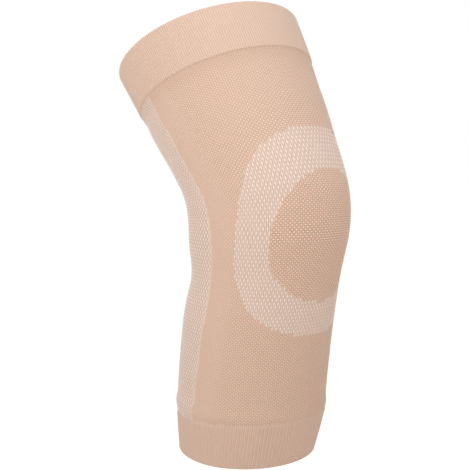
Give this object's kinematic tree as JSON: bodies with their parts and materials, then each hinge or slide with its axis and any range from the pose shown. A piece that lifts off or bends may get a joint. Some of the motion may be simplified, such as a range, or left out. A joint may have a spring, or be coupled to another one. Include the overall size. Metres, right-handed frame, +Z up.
{
  "type": "knitted knee sleeve",
  "caption": "Knitted compression sleeve for the knee: open at both ends, slightly bent, with ribbed cuffs, an oval mesh ring round the kneecap and a mesh panel behind the knee.",
  "frame": {"origin": "inside the hollow, on the middle line of the sleeve, level with the kneecap, where the knee sits", "axes": "+Z up along the shin towards the thigh, -Y the way the kneecap faces, +X to one side; the sleeve is alike on both sides"},
  "size_m": [0.14, 0.2006, 0.3344],
  "materials": {
    "cuff_knit": "matt ribbed elastic knit",
    "body_knit": "matt fine dotted elastic knit",
    "mesh_knit": "matt open mesh knit"
  },
  "bodies": {
    "root": {"upper_cuff": "cuff_knit", "lower_cuff": "cuff_knit", "sleeve_body": "body_knit", "kneecap_ring": "mesh_knit", "kneecap_panel": "body_knit", "back_panel": "mesh_knit"}
  },
  "joints": []
}
